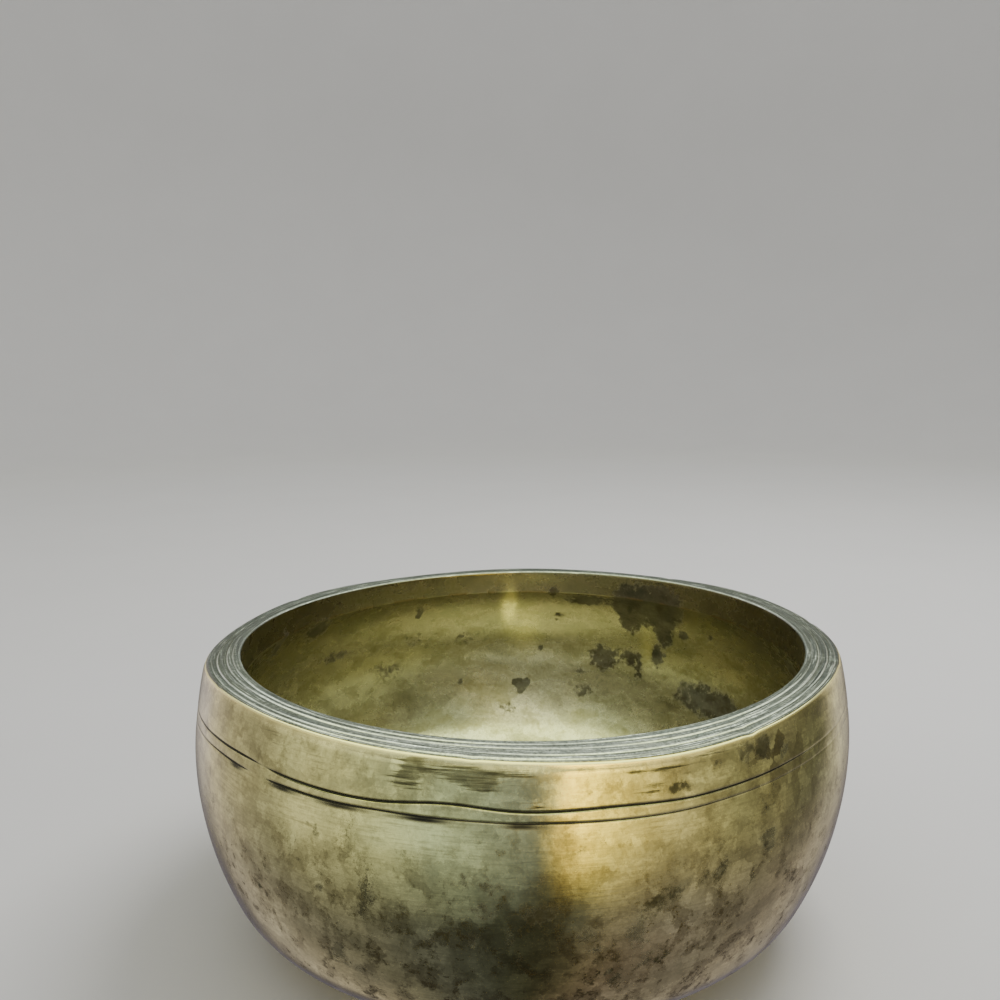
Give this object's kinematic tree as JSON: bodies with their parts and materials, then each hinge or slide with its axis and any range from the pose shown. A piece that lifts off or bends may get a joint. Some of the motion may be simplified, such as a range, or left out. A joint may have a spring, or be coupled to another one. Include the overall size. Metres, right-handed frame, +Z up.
{
  "type": "singing bowl",
  "caption": "Hand-beaten bronze singing bowl with a thick bevelled lip cut with concentric lines, rounded incurving sides, paired wavy lines around the outside and a small flat foot.",
  "frame": {"origin": "centre of the flat foot's underside", "axes": "+Z up along the bowl's axis of symmetry, out of the mouth; -Y faces the usual viewer; X and Y are otherwise free, because the bowl is round"},
  "size_m": [0.2076, 0.2076, 0.0907],
  "materials": {
    "bronze": "aged olive-brown bell bronze, hand-beaten and brushed to a soft sheen, with dark patina stains; the lip is scoured to a matt silvery grey"
  },
  "bodies": {
    "root": {"bowl": "bronze"}
  },
  "joints": []
}
